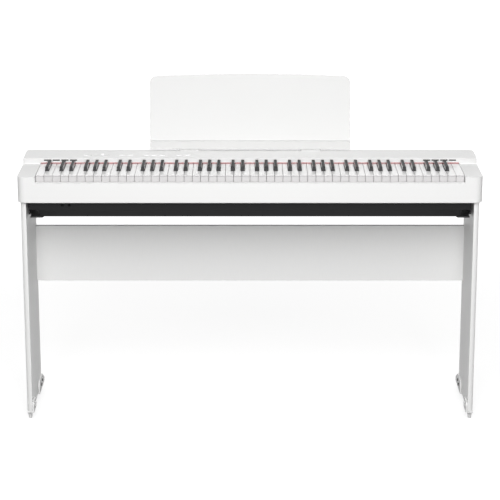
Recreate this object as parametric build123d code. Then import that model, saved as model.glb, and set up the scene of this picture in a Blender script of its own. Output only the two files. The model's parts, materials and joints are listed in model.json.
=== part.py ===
from build123d import *
import os
from math import atan2, cos, degrees, radians, sin, tan

# White digital piano on a panel stand.
# Millimetres. +X is the player's right, +Y runs away from the player, +Z is up, z = 0 is the floor.
# Set-backs (names ending in _BACK) are measured from the front face of the instrument.

# Stand
STAND_INSET = 7.0
PANEL_THICK = 16.0
PANEL_BACK = 10.0
PANEL_REAR_INSET = 14.0
PANEL_FOOT = 24.0
PANEL_TOP = 659.0
PANEL_ROUND = 3.5
BRACE_THICK = 16.0
BRACE_INSET = 6.0
BRACE_DROP = 129.0
BRACE_HEIGHT = 170.0

# Shoes under the side panels
SHOE_WALL = 5.0
SHOE_SOLE = 4.0
FRONT_SHOE_LENGTH = 58.0
FRONT_SHOE_RISE = 28.0
FRONT_SHOE_ROUND = 10.0
REAR_SHOE_GRIP = 86.0
REAR_SHOE_REACH = 42.0
REAR_SHOE_RISE = 36.0
REAR_SHOE_BREAK = 8.0
REAR_SHOE_ROUND = 24.0
SHOE_TOE = 14.0
GLIDE_TOP_R = 7.0
GLIDE_FOOT_R = 4.5
GLIDE_SIDES = 16
GLIDE_INSET = 15.0

# Steel support brackets
BRACKET_STEEL = 4.0
BRACKET_BACK = 78.0
BRACKET_LENGTH = 150.0
BRACKET_REACH = 78.0
TONGUE_WIDTH = 38.0
TONGUE_FROM_PANEL = 8.0
TONGUE_CHAMFER = 5.0

# Instrument case
CHEEK_WIDTH = 52.0
REAR_ROOM = 37.0
CASE_WALL = 3.0
CASE_CORNER = 23.0
CASE_REAR_CORNER = 12.0
SLIP_RISE = 58.0
SLIP_DEPTH = 19.0
SLIP_LIP = 15.0
CHEEK_RISE = 76.0
FASCIA_COVER = 9.0
FASCIA_GAP = 2.5
FASCIA_RISE = 92.5
REAR_RISE = 96.0
FASCIA_LIP = 8.0
CHEEK_WALL_DROP = 45.0
EDGE_EASE = 1.5
TRAY_DROP = 49.0
TRAY_BAND = 23.0
TRAY_GAP = 10.0
TRAY_BACK = 14.0
KEEL_INSET = 24.0
KEEL_TAPER = 3.0
KEEL_FRONT_SLOPE = 24.0
KEEL_REAR_SLOPE = 16.0
KEEL_STEP = 2.0
SEAM = 0.4

# Keyboard
WHITE_COUNT = 52
WHITE_PITCH = 23.5
KEY_GAP = 1.0
KEY_RISE = 77.0
KEY_BACK = 21.0
KEY_DEPTH = 18.0
APRON_DEPTH = 24.0
LIP_DEPTH = 6.0
KEY_EASE = 0.8
LIP_SET = 1.2
LIP_THICK = 3.0
KEY_TAIL = 9.0
BLACK_BACK = 73.0
BLACK_HEIGHT = 12.0
BLACK_BASE = 11.0
BLACK_SHOULDER = 9.4
BLACK_TOP = 7.8
BLACK_FRONT_SLOPE = 5.0
BLACK_EASE = 1.4
BLACK_REAR_GAP = 1.5
BLACK_SUNK = 1.0
BLACK_BODY = 10.0
NOTCH_CLEAR = 0.9
KEY_DIP = 10.0
TAIL_LENGTH = 46.0
PIVOT_BACK = 226.0
PIVOT_DROP = 11.0
KEY_OVERHANG = 9.0
ROD_R = 2.5
ROD_CLEAR = 0.1
KEYBED_CLEAR = 1.2

# Hammers
HAMMER_BACK = 130.0
HAMMER_DROP = 22.0
HAMMER_ARM = 29.0
HAMMER_TAIL_GAP = 4.0
HAMMER_WIDTH = 8.0
HAMMER_PAD = 6.0
HAMMER_SAG = 33.0
HAMMER_GAP = 1.2
HAMMER_HEAD = 15.0

# Key frame
RIB_THICK = 2.4
RAIL_THICK = 3.0
RAIL_BACK = 29.0
RAIL_END = 92.0
RAIL_LIP = 15.0
RIB_CHIN = 10.0
RIB_CLEAR = 5.0
FELT_THICK = 3.0
FELT_GAP = 1.0
HEAD_ROOM = 11.0
BEAM_FRONT_REACH = 14.0
BEAM_REAR_REACH = 12.0
BEAM_THICK = 4.0
BOARD_THICK = 1.6
BOARD_BACK = 50.0
BOARD_DEPTH = 52.0
POST_HEIGHT = 5.0
POST_WIDTH = 6.0

# Panel controls, placed from the case's left end
CONTROL_REAR = 67.0
CAP_LENGTH = 16.0
CAP_WIDTH = 5.6
CAP_PROUD = 1.3
CAP_PLAY = 0.3
CAP_FLANGE = 1.2
POWER_PLACE = 181.0
SLIDER_PLACE = 231.0
SLIDER_SLOT = 42.0
SLIDER_STEM = 2.4
FIRST_GROUP_PLACE = 287.0
SECOND_GROUP_PLACE = 358.0
THIRD_GROUP_PLACE = 455.0
CAP_PITCH = 24.0

# Speakers, sound ports and pads
SPEAKER_INSET = 116.0
SPEAKER_BACK = 80.0
SPEAKER_LENGTH = 120.0
SPEAKER_WIDTH = 60.0
SPEAKER_FLANGE = 3.0
BASKET_HEIGHT = 24.0
BASKET_TOP = 44.0
MAGNET_SIZE = 46.0
MAGNET_HEIGHT = 14.0
MAGNET_CHAMFER = 12.0
SLOT_COUNT = 5
SLOT_PITCH = 15.0
SLOT_WIDTH = 4.0
SLOT_LENGTH = 40.0
PORT_INSET = 109.0
PORT_PITCH = 25.3
PORT_LENGTH = 21.0
PORT_HEIGHT = 4.2
PORT_RISE = 9.6
PAD_INSET = 206.0
PAD_LENGTH = 40.0
PAD_WIDTH = 14.0
PAD_FROM_EDGE = 56.0

# Sockets
PHONES_INSET = 103.5
PHONES_PITCH = 20.0
PHONES_DROP = 3.5
SOCKET_BORE = 3.25
INLET_BORE = 2.75
SOCKET_DEPTH = 14.0
SOCKET_HALF = 5.5
SOCKET_PLAY = 0.15
REAR_SOCKET_X = 200.0
REAR_SOCKET_PITCH = 30.0
REAR_SOCKET_RISE = 31.0

# Music rest
REST_WIDTH = 594.0
REST_HEIGHT = 191.0
REST_THICK = 5.0
REST_LEAN = 15.0
REST_INSET = 10.0
LEDGE_DEPTH = 16.0
LEDGE_HEIGHT = 23.5
LEDGE_WALL = 3.0
REST_GAP = 3.5
REST_ARCH = 8.0
REST_CORNER = 17.0
TONGUE_X = 180.0
REST_TONGUE = 60.0
REST_TONGUE_THICK = 6.0
REST_TONGUE_DROP = 25.0
TONGUE_PLAY = 0.5
TONGUE_SEAT = 0.3
POCKET_WALL = 2.0

# Worked-out places
KEYS_HALF = WHITE_COUNT * WHITE_PITCH / 2
KEYBED_HALF = KEYS_HALF + KEYBED_CLEAR
KEY_END = PIVOT_BACK + KEY_OVERHANG
TAIL_START = PIVOT_BACK - TAIL_LENGTH
FASCIA_BACK = TAIL_START - FASCIA_COVER
CASE_HALF = KEYS_HALF + CHEEK_WIDTH
CASE_DEPTH = KEY_END + REAR_ROOM
PANEL_OUT = CASE_HALF - STAND_INSET
PANEL_IN = PANEL_OUT - PANEL_THICK
PANEL_END = CASE_DEPTH - PANEL_REAR_INSET
BRACE_BACK = PANEL_END - BRACE_INSET - BRACE_THICK
BRACE_TOP = PANEL_TOP - BRACE_DROP
SOLE = PANEL_FOOT - SHOE_SOLE
BASE = PANEL_TOP
TRAY_HALF = PANEL_IN - TRAY_GAP
TRAY_END = CASE_DEPTH - TRAY_BACK
KEEL_HALF = TRAY_HALF - KEEL_INSET
KEEL_BACK = TRAY_BACK + KEEL_STEP
KEEL_END = TRAY_END - KEEL_STEP
KEEL_FOOT_BACK = KEEL_BACK + KEEL_FRONT_SLOPE
KEEL_FOOT_END = KEEL_END - KEEL_REAR_SLOPE
KEY_TOP = BASE + KEY_RISE
KEY_BOTTOM = KEY_TOP - KEY_DEPTH
SLIP_TOP = BASE + SLIP_RISE
FASCIA_FOOT = KEY_TOP + FASCIA_GAP
TRAY_FLOOR = BASE - TRAY_DROP
FLOOR_INSIDE = TRAY_FLOOR + CASE_WALL
PIVOT_Z = KEY_TOP - PIVOT_DROP
BEAM_BACK = PIVOT_BACK - BEAM_FRONT_REACH
BEAM_END = PIVOT_BACK + BEAM_REAR_REACH
HAMMER_TAIL = BEAM_END - HAMMER_TAIL_GAP - HAMMER_BACK
HAMMER_Z = KEY_BOTTOM - HAMMER_DROP
RAIL_TOP = KEY_BOTTOM - KEY_DIP - FELT_THICK
RAIL_FOOT = RAIL_TOP - RAIL_THICK
HAMMER_TIP = KEY_BOTTOM - HAMMER_GAP - HAMMER_Z
LOW_BEAM = HAMMER_Z - HAMMER_SAG - FELT_THICK - FELT_GAP
HIGH_BEAM = HAMMER_Z + HEAD_ROOM
CONTROL_BACK = CASE_DEPTH - CONTROL_REAR
POWER_X = POWER_PLACE - CASE_HALF
SLIDER_X = SLIDER_PLACE - CASE_HALF
FIRST_GROUP_X = FIRST_GROUP_PLACE - CASE_HALF
SECOND_GROUP_X = SECOND_GROUP_PLACE - CASE_HALF
THIRD_GROUP_X = THIRD_GROUP_PLACE - CASE_HALF
SPEAKER_X = KEEL_HALF - SPEAKER_INSET
PORT_X = CASE_HALF - PORT_INSET
PAD_X = KEEL_HALF - PAD_INSET
PHONES_X = PHONES_INSET - TRAY_HALF
REST_BACK = CASE_DEPTH - REST_INSET
LEDGE_FOOT = BASE + REAR_RISE + REST_GAP
LEDGE_TOP = LEDGE_FOOT + LEDGE_HEIGHT
TONGUE_TIP = BASE + REAR_RISE - REST_TONGUE_DROP
TONGUE_BACK_FACE = REST_BACK + 1
LEAN = radians(REST_LEAN)
REST_FACE_BACK = REST_BACK + LEDGE_DEPTH
REST_SLANT = REST_HEIGHT / cos(LEAN)
OVERALL_DEPTH = REST_FACE_BACK + REST_SLANT * sin(LEAN) + REST_THICK * cos(LEAN)
FRONT = -OVERALL_DEPTH / 2
NOTES = ["c", "c_sharp", "d", "d_sharp", "e", "f", "f_sharp", "g", "g_sharp", "a", "a_sharp", "b"]
WHITE_STEP = {"c": 0, "d": 1, "e": 2, "f": 3, "g": 4, "a": 5, "b": 6}
FIRST_NOTE = 9
KEY_COUNT = 88
LOW_GROUP = 5
HIGH_GROUP = 7


def slab(x0, x1, back0, back1, z0, z1):
    """A block between two corners, its depth given as set-backs."""
    centre = ((x0 + x1) / 2, FRONT + (back0 + back1) / 2, (z0 + z1) / 2)
    return Pos(*centre) * Box(x1 - x0, back1 - back0, z1 - z0)


def across(points, x0, x1):
    """A side profile of (set-back, height) points, extruded from x0 to x1."""
    outline = Polyline(*[(FRONT + back, z) for back, z in points], close=True)
    return Pos(x0, 0, 0) * extrude(Plane.YZ * make_face(outline), amount=x1 - x0)


def plan(points, z0, z1):
    """A plan outline of (x, set-back) points, extruded from z0 to z1."""
    outline = Polyline(*[(x, FRONT + back) for x, back in points], close=True)
    return Pos(0, 0, z0) * extrude(make_face(outline), amount=z1 - z0)


def rod_x(radius, x0, x1, back, z):
    """A round bar along X."""
    return Pos((x0 + x1) / 2, FRONT + back, z) * Rot(0, 90, 0) * Cylinder(radius, abs(x1 - x0))


def rod_y(radius, x, back0, back1, z):
    """A round bar along Y."""
    return Pos(x, FRONT + (back0 + back1) / 2, z) * Rot(90, 0, 0) * Cylinder(radius, back1 - back0)


def top_height(back):
    """Height of the sloping top panel at a set-back."""
    slope = (REAR_RISE - FASCIA_RISE) / (CASE_DEPTH - FASCIA_BACK)
    return BASE + FASCIA_RISE + slope * (back - FASCIA_BACK)


def save(node, shape):
    """Write one node's solids."""
    export_step(shape, "parts/" + node + ".step")


def group(solids):
    """Separate solids kept side by side in one node."""
    return Compound(children=[Solid(s.solids()[0].wrapped) for s in solids])


# Keyboard layout

def octave_start(index):
    """Left edge of the octave that holds key number index."""
    octave = (index + FIRST_NOTE) // len(NOTES)
    first_white = WHITE_STEP[NOTES[FIRST_NOTE]]
    return -KEYS_HALF + (octave * 7 - first_white) * WHITE_PITCH


def slot_centre(index):
    """Middle of the narrow strip that each key's tail keeps to."""
    note = (index + FIRST_NOTE) % len(NOTES)
    left = octave_start(index)
    if note < LOW_GROUP:
        return left + (note + 0.5) * 3 * WHITE_PITCH / LOW_GROUP
    return left + 3 * WHITE_PITCH + (note - LOW_GROUP + 0.5) * 4 * WHITE_PITCH / HIGH_GROUP


def note_name(index):
    return NOTES[(index + FIRST_NOTE) % len(NOTES)]


def is_black(index):
    return 0 <= index < KEY_COUNT and note_name(index).endswith("sharp")


def head_edges(index):
    """Left and right edges of a white key's wide front part."""
    left = octave_start(index) + WHITE_STEP[note_name(index)] * WHITE_PITCH
    return left + KEY_GAP / 2, left + WHITE_PITCH - KEY_GAP / 2


RIB_PLACES = [octave_start(i) for i in range(KEY_COUNT) if note_name(i) == "c"]


# Keys

def key_profile(front, top, apron):
    """Side view of a key: apron set back under a lip, straight underside, open saddle over the pivot rod."""
    saddle = ROD_R + ROD_CLEAR
    foot = KEY_TOP - apron
    points = [(front, top), (front, foot)]
    if apron > KEY_DEPTH:
        face = front + LIP_SET
        inside = front + LIP_DEPTH
        points = [(front, top), (front, top - LIP_THICK), (face, top - LIP_THICK), (face, foot)]
        points += [(inside, foot), (inside, KEY_BOTTOM)]
    points += [
        (PIVOT_BACK - saddle, KEY_BOTTOM),
        (PIVOT_BACK - saddle, PIVOT_Z + saddle),
        (PIVOT_BACK + saddle, PIVOT_Z + saddle),
        (PIVOT_BACK + saddle, KEY_BOTTOM),
        (KEY_END, KEY_BOTTOM),
        (KEY_END, top),
    ]
    return points


def white_key(index):
    """White key: wide head, tail notched beside the black keys, narrow end on the rod."""
    left, right = head_edges(index)
    notch = BLACK_BACK - NOTCH_CLEAR
    half_cut = BLACK_BASE / 2 + NOTCH_CLEAR
    neck_left = slot_centre(index - 1) + half_cut if is_black(index - 1) else left
    neck_right = slot_centre(index + 1) - half_cut if is_black(index + 1) else right
    tail_left = slot_centre(index) - KEY_TAIL / 2
    tail_right = slot_centre(index) + KEY_TAIL / 2
    right_side = [(right, KEY_BACK)]
    left_side = [(left, KEY_BACK)]
    if neck_right < right:
        right_side += [(right, notch), (neck_right, notch)]
    if neck_left > left:
        left_side += [(left, notch), (neck_left, notch)]
    right_side += [(neck_right, TAIL_START), (tail_right, TAIL_START), (tail_right, KEY_END)]
    left_side += [(neck_left, TAIL_START), (tail_left, TAIL_START), (tail_left, KEY_END)]
    body = plan(right_side + left_side[::-1], KEY_TOP - APRON_DEPTH, KEY_TOP)
    key = body & across(key_profile(KEY_BACK, KEY_TOP, APRON_DEPTH), left, right)
    top_front = key.edges().group_by(Axis.Z)[-1].sort_by(Axis.Y)[0]
    return chamfer(top_front, KEY_EASE)


def black_key(index):
    """Black key: slim body on the rod with a tapered crown."""
    x = slot_centre(index)
    body_top = KEY_TOP - BLACK_SUNK
    profile = key_profile(BLACK_BACK + BLACK_SUNK, body_top, KEY_DEPTH)
    body = across(profile, x - BLACK_BODY / 2, x + BLACK_BODY / 2)
    rear = FASCIA_BACK - BLACK_REAR_GAP
    brow = BLACK_BACK + BLACK_FRONT_SLOPE
    crown = KEY_TOP + BLACK_HEIGHT
    levels = [
        (body_top, BLACK_BASE, BLACK_BACK, rear),
        (crown - BLACK_EASE, BLACK_SHOULDER, brow - BLACK_EASE / 2, rear - BLACK_EASE / 2),
        (crown, BLACK_TOP, brow + BLACK_EASE / 2, rear - BLACK_EASE),
    ]
    sections = [
        Pos(x, FRONT + (front + end) / 2, z) * Rectangle(width, end - front)
        for z, width, front, end in levels
    ]
    return body + loft(sections, ruled=True)


def hammer(index):
    """Weighted lever on the hammer rod: raised tip under the key, heavy tail behind."""
    saddle = ROD_R + ROD_CLEAR
    foot = -2 * ROD_R
    outline = [
        (-HAMMER_ARM, HAMMER_TIP),
        (-HAMMER_ARM, HAMMER_TIP - HAMMER_PAD),
        (-saddle, foot),
        (-saddle, saddle),
        (saddle, saddle),
        (saddle, foot),
        (HAMMER_TAIL, -HAMMER_SAG),
        (HAMMER_TAIL, HAMMER_HEAD - HAMMER_SAG),
        (2 * saddle, 2 * saddle),
    ]
    x = slot_centre(index)
    points = [(HAMMER_BACK + back, HAMMER_Z + z) for back, z in outline]
    return across(points, x - HAMMER_WIDTH / 2, x + HAMMER_WIDTH / 2)


# Key frame and what it carries

def key_frame():
    """Moulded frame: octave ribs with open rod seats, front rail and stop beams."""
    seat = ROD_R + ROD_CLEAR
    crest = PIVOT_Z + 2 * ROD_R
    front = KEEL_FOOT_BACK + CASE_WALL + RIB_CLEAR
    rear = KEEL_FOOT_END - CASE_WALL - RIB_CLEAR
    rib = [
        (front, FLOOR_INSIDE), (front, BASE - RIB_CHIN), (RAIL_BACK, BASE), (RAIL_BACK, RAIL_FOOT),
        (HAMMER_BACK - seat, RAIL_FOOT), (HAMMER_BACK - seat, HAMMER_Z - seat),
        (HAMMER_BACK + seat, HAMMER_Z - seat), (HAMMER_BACK + seat, RAIL_FOOT), (TAIL_START, RAIL_FOOT),
        (BEAM_BACK, crest), (PIVOT_BACK - seat, crest),
        (PIVOT_BACK - seat, PIVOT_Z - seat), (PIVOT_BACK + seat, PIVOT_Z - seat),
        (PIVOT_BACK + seat, crest), (BEAM_END, crest), (BEAM_END, BASE - RIB_CHIN), (rear, FLOOR_INSIDE),
    ]
    half = RIB_THICK / 2
    pieces = [across(rib, x - half, x + half) for x in RIB_PLACES]
    edge = KEYS_HALF - KEY_GAP
    pieces.append(slab(-edge, edge, RAIL_BACK, RAIL_END, RAIL_FOOT, RAIL_TOP))
    pieces.append(slab(-edge, edge, RAIL_BACK, RAIL_BACK + RAIL_THICK, RAIL_TOP - RAIL_LIP, RAIL_TOP))
    pieces.append(slab(-edge, edge, BEAM_BACK, BEAM_END, LOW_BEAM - BEAM_THICK, LOW_BEAM))
    pieces.append(slab(-edge, edge, BEAM_BACK, BEAM_END, HIGH_BEAM, HIGH_BEAM + BEAM_THICK))
    return pieces[0].fuse(*pieces[1:])


def action_rods():
    """Steel pivot rods for the keys and the hammers."""
    edge = KEYS_HALF - KEY_GAP
    places = ((PIVOT_BACK, PIVOT_Z), (HAMMER_BACK, HAMMER_Z))
    return group([rod_x(ROD_R, -edge, edge, back, z) for back, z in places])


def stop_felts():
    """Felts under the key fronts and below and above the hammer heads."""
    edge = KEYS_HALF - KEY_GAP
    strips = [slab(-edge, edge, RAIL_BACK + 1, RAIL_BACK + 11, RAIL_TOP, RAIL_TOP + FELT_THICK)]
    gap = RIB_THICK / 2 + SEAM
    stops = [-edge - gap] + RIB_PLACES + [edge + gap]
    for left, right in zip(stops, stops[1:]):
        for z in (LOW_BEAM, HIGH_BEAM - FELT_THICK):
            strips.append(slab(left + gap, right - gap, BEAM_BACK + 2, BEAM_END - 2, z, z + FELT_THICK))
    return group(strips)


def felt_strip():
    """Red name-board felt glued under the fascia."""
    front, end = FASCIA_BACK + 0.4, FASCIA_BACK + FASCIA_LIP
    return slab(-KEYS_HALF, KEYS_HALF, front, end, KEY_TOP + 0.6, FASCIA_FOOT)


def contact_board():
    """Long circuit board on the front rail, under the keys."""
    return slab(-KEYS_HALF + 4, KEYS_HALF - 4, RAIL_BACK + 17, RAIL_END - 2, RAIL_TOP, RAIL_TOP + BOARD_THICK)


# Case

def case_plan(inset):
    """Plan outline of the case, its corners tighter at the rear."""
    outline = Rectangle(2 * (CASE_HALF - inset), CASE_DEPTH - 2 * inset)
    outline = fillet(outline.vertices().sort_by(Axis.Y)[:2], CASE_CORNER - inset)
    return fillet(outline.vertices().sort_by(Axis.Y)[-2:], CASE_REAR_CORNER - inset)


def case_block(inset, z0):
    """Case drawn up from its plan outline, under the stepped and sloping top."""
    prism = Pos(0, FRONT + CASE_DEPTH / 2, z0) * extrude(case_plan(inset), amount=BASE + REAR_RISE - z0 + 10)
    step = FASCIA_BACK + inset
    profile = [
        (inset, z0), (inset, BASE + CHEEK_RISE - inset), (step, BASE + CHEEK_RISE - inset),
        (step, top_height(step) - inset), (CASE_DEPTH - inset, top_height(CASE_DEPTH - inset) - inset),
        (CASE_DEPTH - inset, z0),
    ]
    return prism & across(profile, -CASE_HALF, CASE_HALF)


def rear_socket_places():
    return [REAR_SOCKET_X + i * REAR_SOCKET_PITCH for i in range(2)]


def button_places():
    places = {"power_button": POWER_X}
    starts = [FIRST_GROUP_X] * 2 + [SECOND_GROUP_X] * 3 + [THIRD_GROUP_X] * 2
    steps = [0, 1, 0, 1, 2, 0, 1]
    for number, (start, step) in enumerate(zip(starts, steps), 1):
        places["panel_button_" + str(number)] = start + step * CAP_PITCH
    return places


def socket_cut(x, back, z):
    """Square cut-out in a wall for one socket block."""
    half = SOCKET_HALF + SOCKET_PLAY
    return slab(x - half, x + half, back - CASE_WALL - 1, back + CASE_WALL + 1, z - half, z + half)


def upper_case():
    """White moulded top: key slip, cheeks, fascia with sound ports, top panel and rest pockets."""
    shell = case_block(0, BASE)
    shell = chamfer(shell.faces().sort_by(Axis.Z)[-1].edges(), EDGE_EASE)
    shell = chamfer(shell.faces().sort_by(Axis.Z)[0].edges(), EDGE_EASE)
    shell -= case_block(CASE_WALL, BASE - 1)
    bed = KEYBED_HALF
    shell -= slab(-bed, bed, -1, FASCIA_BACK + CASE_WALL, SLIP_TOP, FASCIA_FOOT)
    shell += slab(-bed, bed, CASE_WALL, SLIP_DEPTH, SLIP_TOP - CASE_WALL, SLIP_TOP)
    shell += slab(-bed, bed, SLIP_DEPTH - CASE_WALL, SLIP_DEPTH, SLIP_TOP - SLIP_LIP, SLIP_TOP)
    shell += slab(-bed, bed, FASCIA_BACK, FASCIA_BACK + FASCIA_LIP, FASCIA_FOOT, FASCIA_FOOT + CASE_WALL)
    for side in (-1, 1):
        wall = sorted((side * bed, side * (bed + CASE_WALL)))
        shell += slab(*wall, CASE_WALL, FASCIA_BACK + CASE_WALL,
                      KEY_TOP - CHEEK_WALL_DROP, BASE + CHEEK_RISE - CASE_WALL)
        for step in (-1.5, -0.5, 0.5, 1.5):
            x = side * PORT_X + step * PORT_PITCH
            z = KEY_TOP + PORT_RISE
            shell -= slab(x - PORT_LENGTH / 2, x + PORT_LENGTH / 2, FASCIA_BACK - 1,
                          FASCIA_BACK + CASE_WALL + 1, z - PORT_HEIGHT / 2, z + PORT_HEIGHT / 2)
        half = REST_TONGUE / 2 + TONGUE_PLAY
        pocket_x = (side * TONGUE_X - half, side * TONGUE_X + half)
        slot = (TONGUE_BACK_FACE - TONGUE_PLAY, TONGUE_BACK_FACE + REST_TONGUE_THICK + TONGUE_PLAY)
        foot = TONGUE_TIP - TONGUE_SEAT
        shell += slab(pocket_x[0] - POCKET_WALL, pocket_x[1] + POCKET_WALL, slot[0] - POCKET_WALL,
                      CASE_DEPTH - 1, foot - POCKET_WALL, BASE + REAR_RISE - POCKET_WALL)
        shell -= slab(*pocket_x, *slot, foot, BASE + REAR_RISE + 5)
    across_cap = CAP_WIDTH / 2 + CAP_PLAY
    for x in button_places().values():
        along_cap = CAP_LENGTH / 2 + CAP_PLAY
        shell -= slab(x - along_cap, x + along_cap, CONTROL_BACK - across_cap, CONTROL_BACK + across_cap,
                      FASCIA_FOOT + CASE_WALL, BASE + REAR_RISE)
    stem = SLIDER_STEM / 2 + CAP_PLAY
    shell -= slab(SLIDER_X - SLIDER_SLOT / 2, SLIDER_X + SLIDER_SLOT / 2, CONTROL_BACK - stem,
                  CONTROL_BACK + stem, FASCIA_FOOT + CASE_WALL, BASE + REAR_RISE)
    for x in rear_socket_places():
        shell -= socket_cut(x, CASE_DEPTH, BASE + REAR_SOCKET_RISE)
    return shell


def keel(inset, z0):
    """Lower part of the tray that narrows towards the floor."""
    band = BASE - TRAY_BAND
    half = KEEL_HALF - inset
    levels = [
        (band + CASE_WALL, half, KEEL_BACK + inset, KEEL_END - inset),
        (band, half, KEEL_BACK + inset, KEEL_END - inset),
        (z0, half - KEEL_TAPER, KEEL_FOOT_BACK + inset, KEEL_FOOT_END - inset),
    ]
    sections = [
        Pos(0, FRONT + (front + end) / 2, z) * Rectangle(2 * half, end - front)
        for z, half, front, end in levels
    ]
    return loft(sections, ruled=True)


def lower_case():
    """Black tray: flange under the white case, upper band, sloping keel, sound slots and board posts."""
    rim = CASE_WALL + SEAM
    outline = case_plan(rim)
    flange = Pos(0, FRONT + CASE_DEPTH / 2, BASE) * extrude(outline, amount=CASE_WALL)
    band = slab(-TRAY_HALF, TRAY_HALF, TRAY_BACK, TRAY_END, BASE - TRAY_BAND, BASE)
    tray = flange + band + keel(0, TRAY_FLOOR)
    wall = CASE_WALL
    tray -= slab(-TRAY_HALF + wall, TRAY_HALF - wall, TRAY_BACK + wall, TRAY_END - wall,
                 BASE - TRAY_BAND + wall, BASE + wall + 1)
    tray -= keel(wall, FLOOR_INSIDE)
    for side in (-1, 1):
        for slot in range(SLOT_COUNT):
            x = side * SPEAKER_X + (slot - (SLOT_COUNT - 1) / 2) * SLOT_PITCH
            tray -= slab(x - SLOT_WIDTH / 2, x + SLOT_WIDTH / 2, SPEAKER_BACK - SLOT_LENGTH / 2,
                         SPEAKER_BACK + SLOT_LENGTH / 2, TRAY_FLOOR - 1, FLOOR_INSIDE + 1)
    post = POST_WIDTH / 2
    for x, back in board_posts():
        tray += slab(x - post, x + post, back - post, back + post, FLOOR_INSIDE, FLOOR_INSIDE + POST_HEIGHT)
    for x in phone_places():
        tray -= socket_cut(x, TRAY_BACK, BASE - PHONES_DROP - SOCKET_HALF)
    return tray


def phone_places():
    return [PHONES_X - PHONES_PITCH / 2, PHONES_X + PHONES_PITCH / 2]


def main_board_span():
    return RIB_PLACES[3] + 10, RIB_PLACES[4] - 10


def board_posts():
    left, right = main_board_span()
    backs = (BOARD_BACK + POST_WIDTH, BOARD_BACK + BOARD_DEPTH - POST_WIDTH)
    return [(x, back) for x in (left + POST_WIDTH, right - POST_WIDTH) for back in backs]


def main_board():
    """Tone board with its main chips, on four posts of the tray."""
    left, right = main_board_span()
    foot = FLOOR_INSIDE + POST_HEIGHT
    top = foot + BOARD_THICK
    board = slab(left, right, BOARD_BACK, BOARD_BACK + BOARD_DEPTH, foot, top)
    middle = BOARD_BACK + BOARD_DEPTH / 2
    for x, length, depth, height in ((left + 44, 28, 28, 2), (left + 89, 18, 12, 2), (right - 20, 16, 18, 9)):
        front, end = middle - depth / 2, middle + depth / 2
        board += slab(x - length / 2, x + length / 2, front, end, top, top + height)
    return board


def trough(foot_length, top_length, width, foot, top):
    """Block whose long sides lean in towards a shorter top."""
    low, high = foot_length / 2, top_length / 2
    outline = Polyline((-low, foot), (low, foot), (high, top), (-high, top), close=True)
    return extrude(Plane.XZ * make_face(outline), amount=width / 2, both=True)


def speaker(x):
    """Long driver face down over the tray's sound slots."""
    length, width = SPEAKER_LENGTH, SPEAKER_WIDTH
    rim = 2 * SPEAKER_FLANGE
    flange = Pos(0, 0, SPEAKER_FLANGE / 2) * Box(length, width, SPEAKER_FLANGE)
    flange = chamfer(flange.edges().filter_by(Axis.Z), width / 4)
    basket = trough(length - 2 * rim, BASKET_TOP, width - 2 * rim, SPEAKER_FLANGE, BASKET_HEIGHT)
    cone = trough(length - 4 * rim, BASKET_TOP - 2 * rim, width - 3 * rim, 0, BASKET_HEIGHT - rim)
    magnet = Pos(0, 0, BASKET_HEIGHT + MAGNET_HEIGHT / 2 - 1) * Box(MAGNET_SIZE, MAGNET_SIZE, MAGNET_HEIGHT)
    magnet = chamfer(magnet.edges().filter_by(Axis.Z), MAGNET_CHAMFER)
    return Pos(x, FRONT + SPEAKER_BACK, FLOOR_INSIDE) * (flange + basket + magnet - cone)


def rubber_feet():
    """Four pads under the tray."""
    length, width = PAD_LENGTH / 2, PAD_WIDTH / 2
    return group([
        slab(x - length, x + length, back - width, back + width, TRAY_FLOOR - BRACKET_STEEL, TRAY_FLOOR)
        for x in (-PAD_X, PAD_X) for back in (TRAY_BACK + PAD_FROM_EDGE, TRAY_END - PAD_FROM_EDGE)
    ])


def socket(x, mouth, depth_sign, bore, z):
    """Socket block set in a wall, with a blind round bore from its mouth."""
    half = SOCKET_HALF
    span = sorted((mouth, mouth + depth_sign * (SOCKET_DEPTH + CASE_WALL)))
    block = slab(x - half, x + half, *span, z - half, z + half)
    return block - rod_y(bore, x, *sorted((mouth, mouth + depth_sign * SOCKET_DEPTH)), z)


def headphone_jacks():
    """Two headphone sockets in the front band of the tray."""
    z = BASE - PHONES_DROP - SOCKET_HALF
    return group([socket(x, TRAY_BACK - 0.5, 1, SOCKET_BORE, z) for x in phone_places()])


def rear_jacks():
    """Power inlet and pedal socket in the rear wall."""
    z = BASE + REAR_SOCKET_RISE
    bores = [INLET_BORE, SOCKET_BORE]
    return group([socket(x, CASE_DEPTH, -1, bore, z) for x, bore in zip(rear_socket_places(), bores)])


# Panel controls

def button(x):
    """Panel key cap with its retaining flange under the top panel."""
    panel = top_height(CONTROL_BACK)
    under = panel - CASE_WALL - 2 * CAP_PLAY
    height = panel + CAP_PROUD - under
    cap = Pos(0, 0, height / 2) * Box(CAP_LENGTH, CAP_WIDTH, height)
    cap = chamfer(cap.faces().sort_by(Axis.Z)[-1].edges(), 0.4)
    flange = Pos(0, 0, -CAP_FLANGE / 2) * Box(CAP_LENGTH + 3, CAP_WIDTH + 3, CAP_FLANGE)
    return Pos(x, FRONT + CONTROL_BACK, under) * (cap + flange)


def volume_knob():
    """Slider cap with its stem through the groove."""
    cap = Pos(0, 0, 3.3) * Box(9, 10, 5)
    cap = chamfer(cap.faces().sort_by(Axis.Z)[-1].edges(), 0.8)
    stem = Pos(0, 0, -3) * Box(6, SLIDER_STEM, 10)
    return Pos(SLIDER_X, FRONT + CONTROL_BACK, top_height(CONTROL_BACK)) * (cap + stem)


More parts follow.
